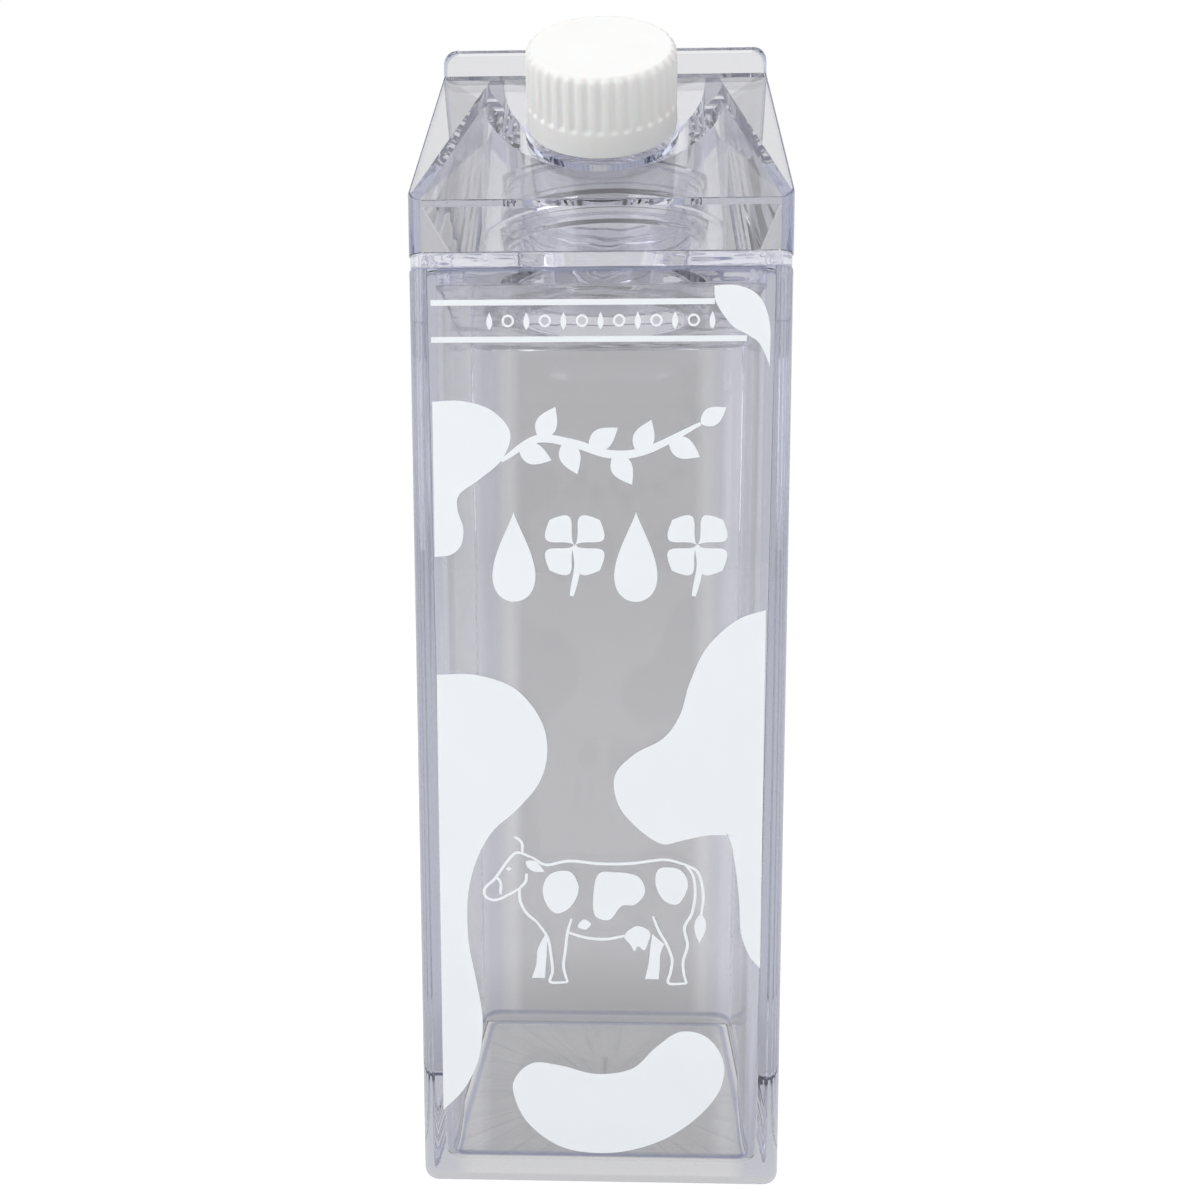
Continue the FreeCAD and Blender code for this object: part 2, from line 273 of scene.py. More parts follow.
def screen_ink():
    """White ultraviolet-cured ink, screen-printed on the acrylic.

    The eye sees an opaque, slightly bluish satin white with the fine tooth of the mesh it was pressed
    through, about 0.1 mm, drawn at 0.4 mm so that it shows.
    """
    made, tree, output = empty_material("screen_printed_ink")
    colour = linear(bpy.context.scene.bottle_colours.ink)
    place = add(tree, "ShaderNodeTexCoord").outputs["Object"]
    tooth = add(tree, "ShaderNodeTexNoise", {"Scale": 2500.0, "Detail": 2.0}, {"Vector": place})
    shade = cloudy(tree, place, 60.0, colour, 0.95)
    tooth = tooth.outputs["Fac"]
    bump = add(tree, "ShaderNodeBump", {"Strength": 0.1, "Distance": 0.05 * MM}, {"Height": tooth})
    shader = add(
        tree,
        "ShaderNodeBsdfPrincipled",
        {"Roughness": 0.42, "IOR": 1.48},
        {"Base Color": shade, "Normal": bump.outputs["Normal"]},
    )
    tree.links.new(shader.outputs["BSDF"], output.inputs["Surface"])
    return made


def cap_plastic():
    """Polypropylene, injection-moulded white in a spark-eroded tool.

    The eye sees a soft satin white that light enters a little, with a fine grain of about 0.3 mm.
    """
    made, tree, output = empty_material("white_polypropylene")
    colour = linear(bpy.context.scene.bottle_colours.cap)
    place = add(tree, "ShaderNodeTexCoord").outputs["Object"]
    grain = add(tree, "ShaderNodeTexNoise", {"Scale": 3300.0, "Detail": 3.0}, {"Vector": place})
    shade = cloudy(tree, place, 90.0, colour, 0.96)
    grain = grain.outputs["Fac"]
    rough = add(tree, "ShaderNodeMapRange", {"To Min": 0.36, "To Max": 0.5}, {"Value": grain})
    bump = add(tree, "ShaderNodeBump", {"Strength": 0.12, "Distance": 0.04 * MM}, {"Height": grain})
    shader = add(
        tree,
        "ShaderNodeBsdfPrincipled",
        {"IOR": 1.49, "Subsurface Weight": 0.15, "Subsurface Scale": 0.002},
        {"Base Color": shade, "Roughness": rough.outputs["Result"], "Normal": bump.outputs["Normal"]},
    )
    tree.links.new(shader.outputs["BSDF"], output.inputs["Surface"])
    return made


def make_piece(name, points, faces, material, tints_and_shades=None):
    """Puts points and faces into a smooth mesh object that rides on the bottle."""
    mesh = bpy.data.meshes.new(name)
    mesh.from_pydata(points.tolist(), [], faces)
    mesh.update()
    mesh.shade_smooth()
    if tints_and_shades is not None:
        give_tint_and_shade(mesh, tints_and_shades)
    mesh.materials.append(material)
    piece = new_object(name, mesh)
    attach(piece, "root")
    return piece


def even_normals(piece):
    """Lets the large faces set the normals, so that flats stay optically flat beside their rounded edges."""
    piece.modifiers.new("even_normals", "WEIGHTED_NORMAL").keep_sharp = True


def ring_faces(rings, columns, closed):
    """Quads between neighbouring rings of a grid whose columns close on themselves."""
    total = rings * columns
    rows = columns * np.arange(rings if closed else rings - 1)[:, None]
    around = np.arange(columns)
    first = rows + around
    along = rows + (around + 1) % columns
    corners = [first, along, (along + columns) % total, (first + columns) % total]
    return np.stack(corners, axis=-1).reshape(-1, 4).tolist()


def revolved(name, grid, material, closed=False, tints_and_shades=None):
    """A surface of rings, one row of the grid each. An open stack is closed by a fan at each end."""
    rings, columns = grid.shape[:2]
    points = grid.reshape(-1, 3)
    tints_and_shades = tints_and_shades if tints_and_shades is None else tints_and_shades.reshape(-1, 3)
    faces = ring_faces(rings, columns, closed)
    around = np.arange(columns)
    onward = (around + 1) % columns
    if not closed:
        points = np.vstack([points, grid[0].mean(axis=0), grid[-1].mean(axis=0)])
        start = rings * columns
        last = start - columns
        faces += np.stack([onward, around, np.full(columns, start)], axis=1).tolist()
        faces += np.stack([last + around, last + onward, np.full(columns, start + 1)], axis=1).tolist()
        if tints_and_shades is not None:
            tints_and_shades = np.vstack([tints_and_shades, tints_and_shades[0], tints_and_shades[-1]])
    return make_piece(name, points, faces, material, tints_and_shades)


def square_columns(flat=34, arc=14):
    """Two unit outlines with the same columns: a square's sides, and the directions at its corners.

    Along a side the square part runs from -1 to 1 and the direction stays. Round a corner the square
    part stays and the direction turns through 90 degrees.
    """
    along = np.sin(np.linspace(-1, 1, flat) * np.pi / 2)
    turn = np.linspace(0, np.pi / 2, arc + 1)[1:-1]
    side = np.column_stack([np.ones(flat), along])
    corner = np.column_stack([np.cos(turn), np.sin(turn)])
    square = np.vstack([side, np.ones(corner.shape)])
    rounded = np.vstack([side * (1, 0), corner])
    quarter = np.array([[0, 1], [-1, 0]])
    turns = [np.linalg.matrix_power(quarter, index) for index in range(4)]
    return tuple(np.vstack([part @ t for t in turns]) for part in (square, rounded))


SQUARE, ROUNDED = square_columns()
DIRECTIONS = 0.9 * SQUARE + 0.1 * ROUNDED
DIRECTIONS /= np.linalg.norm(DIRECTIONS, axis=1, keepdims=True)


def square_ring(half, radius, height):
    """A level rounded square: the square part scaled by half - radius plus the directions by radius."""
    flat = (half - radius) * SQUARE + radius * ROUNDED
    return np.column_stack([flat, np.full(len(flat), height)])


def round_ring(radius, height):
    """A level circle on the same columns. Radius and height may be one number or one for each column."""
    return np.column_stack([DIRECTIONS * np.reshape(radius, (-1, 1)), np.ones(len(DIRECTIONS)) * height])


def eased(share):
    """A share clipped to 0 to 1 and eased: three times its square less twice its cube."""
    share = np.clip(share, 0, 1)
    return share * share * (3 - 2 * share)


def quarter_turn(steps=6):
    """Pairs of sine and cosine from 0 to 90 degrees."""
    turn = np.linspace(0, np.pi / 2, steps + 1)
    return list(zip(np.sin(turn), np.cos(turn)))


# kinds of ring: the name of the colour on the flats, and of the colour towards the upright corners; all but
# clear carry painted shade
WALL = ("body", "clear")
OUTER = ("body", "edge")
FLAT = ("body", "body")
BASE = ("base", "base")
SHADED_ROUND = ("seam", "seam")
# GLINT: a painted highlight, the nearly clear colour amid shaded rings
GLINT = ("clear", "clear")
LIGHT_TURNS = 32


class BOTTLE_OT_box(bpy.types.Operator):
    """The square box: one closed skin from the underside, round the walls, to the inner floor"""

    bl_idname = "bottle.box"
    bl_label = "Box"

    def execute(self, context):
        sizes = context.scene.bottle_sizes
        material = acrylic("clear_acrylic_box")
        # a ring this far from each rounded edge keeps the flat beside it flat
        support = 0.5 * MM
        arc = quarter_turn()
        outer, edge = sizes.edge, sizes.inner_edge
        foot = sizes.foot
        core = outer - foot
        # the underside and its foot: painted shade under the box
        rings = [(HALF * 0.4, core, 0, BASE), (HALF - foot - support, core, 0, BASE)]
        rings += [(HALF - foot * (1 - s), core + foot * s, foot * (1 - c), BASE) for s, c in arc]
        top = BOX_TOP - sizes.seam
        lip = sizes.lip
        heights = np.linspace(foot + support, top - lip - support, 9)
        # outer walls: painted shade on the flats, darker painted shade towards the upright edges
        rings += [(HALF, outer, height, OUTER) for height in heights]
        # rounded rims of the lip: painted shade
        rings += [(HALF - lip * (1 - c), outer - lip * (1 - c), top - lip * (1 - s), SHADED_ROUND) for s, c in arc]
        inner = HALF - sizes.wall
        rings += [(inner + lip * (1 - s), edge + lip * (1 - s), top - lip * (1 - c), SHADED_ROUND) for s, c in arc]
        fillet = sizes.fillet
        low = sizes.floor + fillet
        # inner walls: painted shade on the flats, giving way to nearly clear towards the upright corners
        for height in np.linspace(top - lip - support, low + support, 9):
            lean = sizes.draft * (BOX_TOP - height) / (BOX_TOP - sizes.floor)
            rings.append((inner - lean, edge - lean, height, WALL))
        wall = inner - sizes.draft
        tight = edge - sizes.draft - fillet
        # the inner floor's fillet: painted shade at its sides, and a painted highlight along its middle in
        # the GLINT rings
        rings += [
            (wall - fillet * (1 - c), tight + fillet * c, low - fillet * s, mark)
            for (s, c), mark in zip(arc, (SHADED_ROUND, SHADED_ROUND, GLINT, GLINT, GLINT, SHADED_ROUND, SHADED_ROUND))
        ]
        rings += [(wall - fillet - support, tight, sizes.floor, FLAT)]
        stack = [square_ring(*ring[:3]) for ring in rings]
        sunk = sizes.floor - sizes.gate_depth
        # the mark's rings: share of its radius, and height
        gate = ((1.2, sizes.floor), (1.0, sizes.floor), (0.96, sunk), (0.5, sunk))
        stack += [round_ring(sizes.gate * share, height) for share, height in gate]
        marks = [ring[3] for ring in rings] + [FLAT] * len(gate)
        piece = revolved("clear_box", np.stack(stack), material, tints_and_shades=self.tints_and_shades(context, marks))
        even_normals(piece)
        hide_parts("box")
        return {"FINISHED"}

    def tints_and_shades(self, context, marks):
        """Tints and painted shade of the rings: on the flats the first that the mark names, towards the
        corners the second.
        """
        start, blend = 0.8, 0.08
        near = np.clip((np.abs(SQUARE).min(axis=1) - start) / blend, 0, 1)[:, None]
        colours = context.scene.bottle_colours
        rows = []
        for mark in marks:
            flat, corner = (np.array(linear(getattr(colours, name))[:3]) for name in mark)
            rows.append(flat + (corner - flat) * near)
        return np.stack(rows)


def thread(height, turn, sizes, start):
    """How far a right-hand thread stands out: a rounded trapezoid wave of height minus pitch times turn.

    The wave is full over a fifth of the pitch, and fades in and out over a quarter turn at its ends.
    """
    climb = (height - start) / sizes.pitch - turn
    count = np.floor(climb + 0.5)
    offset = np.abs(climb - count)
    reach, flank = 0.22, 0.12
    shape = eased((reach - offset) / flank)
    travelled = count + turn
    fade = np.clip(4 * travelled, 0, 1) * np.clip(4 * (sizes.turns - travelled), 0, 1)
    return sizes.thread_depth * shape * fade


class BOTTLE_OT_neck(bpy.types.Operator):
    """The square plate that plugs the box, with the threaded neck, as one closed skin"""

    bl_idname = "bottle.neck"
    bl_label = "Neck plate"

    def execute(self, context):
        sizes = context.scene.bottle_sizes
        material = acrylic("clear_acrylic_neck_plate", 0.8, 110.0, 8.0)
        support = 0.4 * MM
        slack = 0.05 * MM
        plug = HALF - sizes.wall - slack
        plate = HALF - sizes.inset
        inner = sizes.inner_edge
        outer = sizes.edge - sizes.inset
        top = ROOF_BASE - sizes.seam
        bore = sizes.neck_radius - sizes.neck_wall
        soft = sizes.lip
        knee = 0.3 * soft
        bevel = ((soft, 0), (knee, knee), (0, soft))
        rows = [(plug - soft - support, inner - soft, PLUG_BOTTOM)]
        rows += [(plug - a, inner - a, PLUG_BOTTOM + b) for a, b in bevel]
        rows += [(plug, inner, BOX_TOP - support), (plug, inner, BOX_TOP)]
        rows += [(plug + support, inner + support, BOX_TOP)]
        rows += [(plate - a, outer - a, BOX_TOP + b) for a, b in bevel]
        rows += [(plate, outer, BOX_TOP + soft + support), (plate, outer, top - soft - support)]
        rows += [(plate - a, outer - a, top - b) for a, b in bevel[::-1]]
        rows += [(plate - soft - support, outer - soft, top)]
        stack = [round_ring(bore, PLUG_BOTTOM + soft), round_ring(bore + soft, PLUG_BOTTOM)]
        stack += [square_ring(*row) for row in rows]
        root = 0.6 * MM
        neck = sizes.neck_radius
        arc = quarter_turn(4)
        stack += [round_ring(neck + root + support, top)]
        stack += [round_ring(neck + root * (1 - s), top + root * (1 - c)) for s, c in arc]
        turn = np.arctan2(DIRECTIONS[:, 1], DIRECTIONS[:, 0]) / (2 * np.pi) % 1
        above_thread = 1.7 * MM
        start = NECK_TOP - sizes.pitch * sizes.turns - above_thread
        spacing = 0.22 * MM
        heights = np.arange(top + root + 0.2 * MM, NECK_TOP - 0.6 * MM, spacing)
        # fine lines where the tool's halves part, one in front and one behind
        line_height, line_width = 0.08 * MM, 0.2 * MM
        base = neck + line_height * np.exp(-((DIRECTIONS[:, 0] * neck / line_width) ** 2))
        stack += [round_ring(base + thread(height, turn, sizes, start), height) for height in heights]
        rim = 0.5 * MM
        stack += [round_ring(neck - rim * (1 - c), NECK_TOP - rim * (1 - s)) for s, c in arc]
        stack += [round_ring(bore + rim * (1 - s), NECK_TOP - rim * (1 - c)) for s, c in arc]
        inside = np.linspace(NECK_TOP - 1 * MM, PLUG_BOTTOM + 1 * MM, 4)
        stack += [round_ring(bore, height) for height in inside]
        grid = np.stack(stack)
        # the neck and plate: the light plate colour, with little painted shade
        tint_and_shade = linear(context.scene.bottle_colours.plate)[:3]
        tints_and_shades = np.broadcast_to(tint_and_shade, grid.shape)
        piece = revolved("clear_neck_plate", grid, material, closed=True, tints_and_shades=tints_and_shades)
        even_normals(piece)
        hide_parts("neck_plate")
        return {"FINISHED"}


class BOTTLE_OT_roof(bpy.types.Operator):
    """The hollow gabled roof: the frame's own mesh, welded, with its sharp edges marked"""

    bl_idname = "bottle.roof"
    bl_label = "Roof"

    def execute(self, context):
        material = acrylic("clear_acrylic_roof", 0.1, 80.0, 13.0)
        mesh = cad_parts["roof"].data.copy()
        mesh.name = "clear_roof"
        work = bmesh.new()
        work.from_mesh(mesh)
        bmesh.ops.remove_doubles(work, verts=work.verts, dist=0.002 * MM)
        keep_creases(work)
        work.to_mesh(mesh)
        work.free()
        mesh.materials.clear()
        mesh.materials.append(material)
        self.tint_and_shade(context, mesh)
        piece = new_object("clear_roof", mesh)
        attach(piece, "root")
        even_normals(piece)
        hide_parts("roof")
        return {"FINISHED"}

    def tint_and_shade(self, context, mesh):
        """Tints each face with painted shade: clear for the tube and the folds, seam for narrow rounded
        edges, slope for slopes.

        Slant is how far a face looks sideways and rise how far it looks up, both from 0 to 1.
        """
        faces = mesh.polygons
        read = {}
        for name, parts in (("center", 3), ("normal", 3), ("area", 1)):
            read[name] = np.zeros(parts * len(faces))
            faces.foreach_get(name, read[name])
        centres, areas = read["center"].reshape(-1, 3), read["area"]
        slant, _, rise = np.abs(read["normal"].reshape(-1, 3)).T
        inside = np.hypot(centres[:, 0], centres[:, 1]) < context.scene.bottle_sizes.tube
        small, narrow = (5 * MM) ** 2, (9 * MM) ** 2
        least, most = 0.12, 0.985
        gentle, steep = 0.5, 0.85
        tube = inside & (areas < small)
        slanted = (slant > least) & (slant < most)
        rounded = ~inside & slanted & (areas < narrow)
        folded = slanted & ~tube & ~rounded
        colours = context.scene.bottle_colours
        sloping = (slant < least) & (rise > gentle) & (rise < steep) & ~tube
        # painted shade on the roof: darker on the slopes and narrow rounded edges, nearly none on the tube
        # and folds
        tints_and_shades = np.tile(linear(colours.roof)[:3], (len(faces), 1))
        tints_and_shades[tube | folded] = linear(colours.clear)[:3]
        tints_and_shades[rounded] = linear(colours.seam)[:3]
        tints_and_shades[sloping] = linear(colours.slope)[:3]
        give_tint_and_shade(mesh, tints_and_shades, "FACE")


def keep_creases(work):
    """Smooths a welded mesh but for its creases: steep edges, and gentle folds between two wide flats."""
    steep, gentle, wide = math.radians(38), math.radians(10), (4 * MM) ** 2
    for face in work.faces:
        face.smooth = True
    for edge in work.edges:
        fold = edge.calc_face_angle(0)
        flats = min(face.calc_area() for face in edge.link_faces) > wide
        edge.smooth = not (fold > steep or (fold > gentle and flats))


def slope_frame(cap):
    """The cap's own axes on the front slope: its foot, the axis square to the slope, and up the slope."""
    angle = math.atan2(cap.rise, HALF - cap.fin / 2)
    up = np.array([0, math.cos(angle), math.sin(angle)])
    out = np.array([0, -math.sin(angle), math.cos(angle)])
    foot = np.array([0, -HALF, ROOF_BASE + cap.skirt]) + cap.place * up
    return foot, out, up


class BOTTLE_OT_cap(bpy.types.Operator):
    """The screw cap: a turned profile whose side is grooved between grip ribs"""

    bl_idname = "bottle.cap"
    bl_label = "Cap"

    def execute(self, context):
        cap = context.scene.cap_sizes
        material = cap_plastic()
        columns = cap.ribs * 12
        turn = np.arange(columns) * 2 * np.pi / columns
        arc = quarter_turn(7)
        upper = cap.radius - cap.taper
        edge = cap.edge
        support = 0.4 * MM
        profile = [(across, cap.height, 0) for across in (upper * 0.3, upper * 0.7, upper - edge - support)]
        profile += [(upper - edge * (1 - s), cap.height - edge * (1 - c), s) for s, c in arc]
        spans = (
            (cap.height - edge - support, cap.band + 1.2 * MM, 8),
            (cap.band + 1.0 * MM, cap.band - 0.6 * MM, 9),
            (cap.band - 1.0 * MM, support, 4),
        )
        heights = np.concatenate([np.linspace(*span) for span in spans])
        side = cap.radius - cap.taper * heights / cap.height
        profile += [(r, h, 1) for r, h in zip(side, heights)]
        lip = 0.3 * MM
        profile += [(cap.radius - lip * (1 - c), lip * (1 - s), 0) for s, c in arc]
        profile += [(cap.bore + lip * (1 - s), lip * (1 - c), 0) for s, c in arc]
        clearance = 0.03 * MM
        inside = cap.height - cap.top + clearance
        profile += [(cap.bore, inside - support, 0), (cap.bore, inside, 0), (cap.bore * 0.5, inside, 0)]
        radius, height, grooved = (np.array(part)[:, None] for part in zip(*profile))
        wave = np.cos(turn * cap.ribs)[None, :]
        share, run_out = 0.35, 0.9 * MM
        trough = np.clip((wave + share) / (1 + share), 0, 1) ** 0.7
        above = eased((height - cap.band) / run_out + 0.5)
        wide = radius - cap.groove * trough * above * grooved
        foot, out, up = slope_frame(cap)
        along = np.array([1.0, 0, 0])
        grid = (
            foot
            + (wide * np.cos(turn))[:, :, None] * along
            + (wide * np.sin(turn))[:, :, None] * up
            + (cap.lift + height)[:, :, None] * out
        )
        piece = revolved("ribbed_cap", grid[:, ::-1], material)
        even_normals(piece)
        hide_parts("cap")
        return {"FINISHED"}


def smooth_curve(points, samples=10, closed=False):
    """A curve through its points: on each span a cubic whose ends follow the chord of the neighbours."""
    points = np.asarray(points, float)
    if closed:
        padded = np.vstack([points[-1:], points, points[:2]])
    else:
        padded = np.vstack([2 * points[0] - points[1], points, 2 * points[-1] - points[-2]])
    before, start, end, after = padded[:-3], padded[1:-2], padded[2:-1], padded[3:]
    share = np.linspace(0, 1, samples, endpoint=False)[None, :, None]
    before, start, end, after = (part[:, None, :] for part in (before, start, end, after))
    curve = 0.5 * (
        2 * start
        + (end - before) * share
        + (2 * before - 5 * start + 4 * end - after) * share**2
        + (3 * start - before - 3 * end + after) * share**3
    )
    curve = curve.reshape(-1, 2)
    return curve if closed else np.vstack([curve, points[-1]])


def ruled(first, second, columns=9):
    """A flat patch ruled between two curves with as many points: a straight blend from one to the other."""
    share = np.linspace(0, 1, columns)[None, :, None]
    return first[:, None, :] * (1 - share) + second[:, None, :] * share


def stroke(points, width, taper=0.0, samples=10, closed=False):
    """A drawn line: a smooth curve widened on both sides along its normal, thinner at its ends by taper."""
    curve = smooth_curve(points, samples, closed)
    along = np.gradient(curve, axis=0)
    along = along / np.maximum(np.linalg.norm(along, axis=1, keepdims=True), 1e-9)
    normal = np.column_stack([-along[:, 1], along[:, 0]])
    share = np.linspace(0, 1, len(curve))[:, None]
    wide = width / 2 * (1 - taper * (2 * share - 1) ** 4)
    if closed:
        curve, normal, wide = (np.vstack([part, part[:1]]) for part in (curve, normal, wide))
    return ruled(curve - normal * wide, curve + normal * wide, 3)


def blot(points, samples=8):
    """A filled spot: a closed smooth curve ruled to its own middle."""
    curve = smooth_curve(points, samples, True)
    curve = np.vstack([curve, curve[:1]])
    middle = np.repeat(curve.mean(axis=0, keepdims=True), len(curve), axis=0)
    return ruled(curve, middle, 5)


def bean(points, samples=10):
    """A filled long spot: a closed smooth curve cut in two halves at its ends, ruled from half to half."""
    curve = smooth_curve(points, samples, True)
    half = len(curve) // 2
    back = np.vstack([curve[half:], curve[:1]])[::-1]
    return ruled(curve[: half + 1], back)


def print_piece(name, patches, over=()):
    """Lays flat patches, in millimetres across and up the front, on the front face as one film of ink.

    The patches in over cross the others, and lie a little further out. Each patch also lies one step
    outside the one before it, so that no two share a plane where they cross.
    """
    sizes = bpy.context.scene.print_sizes
    points, faces, first = [], [], 0
    for order, patch in enumerate([*patches, *over]):
        rows, columns = patch.shape[:2]
        flat = patch.reshape(-1, 2) * MM
        layer = order * sizes.step + (sizes.film / 2 if order >= len(patches) else 0)
        depth = np.full(len(flat), -HALF - sizes.gap - layer)
        points.append(np.column_stack([flat[:, 0], depth, flat[:, 1]]))
        index = first + np.arange(rows * columns).reshape(rows, columns)
        corners = [index[:-1, :-1], index[1:, :-1], index[1:, 1:], index[:-1, 1:]]
        quads = np.stack(corners, axis=-1).reshape(-1, 4)
        a, b, c = (flat[quads[:, k] - first] for k in (0, 1, 2))
        turned = np.sum((b - a)[:, 0] * (c - a)[:, 1] - (b - a)[:, 1] * (c - a)[:, 0]) < 0
        faces += (quads[:, ::-1] if turned else quads).tolist()
        first += rows * columns
    material = bpy.data.materials.get("screen_printed_ink") or screen_ink()
    piece = make_piece(name, np.vstack(points), faces, material)
    piece.data.shade_flat()
    film = piece.modifiers.new("film", "SOLIDIFY")
    film.thickness = sizes.film
    film.offset = 1
    return piece


def bar(left, right, low, high):
    """A plain rectangle."""
    sides = np.array([[left, low], [left, high]]), np.array([[right, low], [right, high]])
    return ruled(*sides, 2)


class BOTTLE_OT_stripes(bpy.types.Operator):
    """Two stripes across the top of the print, with a row of small rings and bars between them"""

    bl_idname = "bottle.stripes"
    bl_label = "Stripes"

    def execute(self, context):
        side = context.scene.print_sizes.side / MM
        wide = context.scene.print_sizes.stripe / MM
        upper, lower = 173.6, 166.9
        patches = []
        levels = ((21.2, upper), (27.2, lower))
        stripes = [bar(-side, end, height - wide / 2, height + wide / 2) for end, height in levels]
        middle = (upper + lower) / 2
        first, pitch, ring, tall = -20.6, 3.45, 0.95, 3.2
        turn = np.linspace(0, 2 * np.pi, 9)[:-1]
        for index in range(13):
            centre = first + pitch * index
            if index % 2:
                circle = np.column_stack([centre + ring * np.cos(turn), middle + ring * np.sin(turn)])
                patches.append(stroke(circle, 0.42, 0, 5, True))
            else:
                patches.append(leaf(np.array([centre, middle - tall / 2]), math.pi / 2, tall, 0.55))
        print_piece("print_stripes", patches, stripes)
        return {"FINISHED"}


class BOTTLE_OT_spots(bpy.types.Operator):
    """Large cow spots, cut straight at the sides of the print"""

    bl_idname = "bottle.spots"
    bl_label = "Spots"

    def execute(self, context):
        side = context.scene.print_sizes.side / MM
        left_high = [
            (-side, 155.6), (-26.0, 155.7), (-20.4, 154.0), (-16.9, 149.9), (-18.4, 145.0), (-22.6, 141.3),
            (-26.6, 138.4), (-27.0, 135.4), (-26.0, 132.2), (-26.4, 128.9), (-28.4, 127.0), (-side, 126.6),
        ]
        left_low = [
            (-side, 104.0), (-24.0, 104.0), (-16.5, 101.4), (-11.6, 95.6), (-10.2, 89.2), (-11.8, 83.0),
            (-16.2, 77.6), (-21.0, 73.2), (-24.2, 67.4), (-26.0, 60.0), (-26.0, 51.0), (-24.6, 43.0),
            (-23.4, 35.0), (-24.2, 27.0), (-27.2, 20.4), (-side, 15.8),
        ]
        right = [
            (side, 116.6), (26.0, 114.6), (20.4, 109.4), (17.2, 102.6), (15.4, 96.4), (12.2, 91.8),
            (6.6, 88.6), (2.9, 84.4), (3.6, 78.6), (7.6, 73.8), (12.4, 70.9), (16.8, 72.4), (21.0, 74.9),
            (24.8, 72.8), (26.2, 67.6), (27.2, 60.0), (27.6, 53.6), (29.2, 48.8), (side, 46.0),
        ]
        corner = [
            (21.1, 176.4), (21.3, 173.8), (22.5, 171.6), (24.7, 169.0), (27.4, 167.5), (29.3, 166.2),
            (30.6, 164.0), (31.5, 161.8),
        ]
        over = [
            (21.1, 176.4), (24.4, 176.5), (27.4, 175.8), (29.7, 174.0), (31.0, 171.2), (31.5, 168.3),
            (31.5, 165.0), (31.5, 161.8),
        ]
        patches = []
        for outline, edge in ((left_high, -side), (left_low, -side), (right, side)):
            curve = smooth_curve(outline)
            heights = np.linspace(curve[0, 1], curve[-1, 1], len(curve))
            patches.append(ruled(np.column_stack([np.full(len(curve), edge), heights]), curve))
        patches.append(ruled(smooth_curve(corner), smooth_curve(over)))
        low = [
            (-17.4, 19.8), (-16.4, 23.6), (-13.0, 26.0), (-7.6, 25.4), (-0.6, 23.8), (6.4, 25.0),
            (11.0, 29.4), (16.0, 32.8), (21.4, 31.6), (24.6, 26.4), (23.6, 20.2), (18.4, 14.0), (11.0, 9.4),
            (2.0, 7.2), (-7.4, 8.2), (-14.4, 13.2),
        ]
        patches.append(bean(low))
        print_piece("print_spots", patches)
        return {"FINISHED"}


class BOTTLE_OT_motifs(bpy.types.Operator):
    """A sprig of leaves, and a row of four bold motifs below it: milk drops and clover leaves in turn"""

    bl_idname = "bottle.motifs"
    bl_label = "Motifs"

    def execute(self, context):
        line = context.scene.print_sizes.line / MM
        stem_points = [
            (-18.6, 144.6), (-12.0, 148.6), (-5.0, 147.8), (2.0, 145.8), (9.0, 146.6), (18.8, 151.4),
        ]
        stem = smooth_curve(stem_points, 12)
        patches = []
        for index, spot in enumerate(np.linspace(6, len(stem) - 8, 7).astype(int)):
            along = stem[spot + 1] - stem[spot - 1]
            lean = math.atan2(along[1], along[0]) + (0.95 if index % 2 else -0.95)
            patches.append(leaf(stem[spot], lean, 6.6, 2.0))
        patches.append(leaf(stem[-1], 0.55, 5.6, 1.7))
        stalks = []
        for index in range(4):
            centre = np.array([-16.4 + 11.6 * index, 126.6])
            if index % 2:
                leaves, stalk = clover(centre, 5.0)
                patches += leaves
                stalks.append(stalk)
            else:
                patches.append(drop(centre, 4.7, 17.0))
        print_piece("print_motifs", patches, [stroke(stem_points, 2.8 * line, 0.6)] + stalks)
        return {"FINISHED"}


def leaf(foot, lean, long, half, late=0.8, steps=15):
    """A leaf: on both sides of its middle line half times the sine of pi times the share to the power late.

    The higher that power, the nearer to the tip its widest place.
    """
    share = np.linspace(0, 1, steps)
    swell = half * np.sin(np.pi * share**late)
    along = np.array([math.cos(lean), math.sin(lean)])
    across = np.array([-along[1], along[0]])
    middle = foot + share[:, None] * long * along
    return ruled(middle - swell[:, None] * across, middle + swell[:, None] * across, 5)


def drop(centre, half, tall):
    """A milk drop: its half width is half times the sine of the turn, narrowed towards the top."""
    turn = np.linspace(0, np.pi, 33)
    wide = half * np.sin(turn) * np.sin(turn / 2) ** 1.5 * 1.24
    rise = centre[1] + tall / 2 * np.cos(turn)
    return ruled(np.column_stack([centre[0] - wide, rise]), np.column_stack([centre[0] + wide, rise]))


def clover(centre, size):
    """A four-leaved clover on a short stem: each leaf is a leaf shape with a broad end."""
    heart = centre + np.array([0, 2.2])
    leans = [math.pi / 4 + math.pi / 2 * index for index in range(4)]
    leaves = [leaf(heart, lean, 1.35 * size, 0.62 * size, 1.7, 17) for lean in leans]
    return leaves, stroke([heart, heart + (0.5, -4.0), heart + (-0.6, -9.6)], 1.2, 0.4)


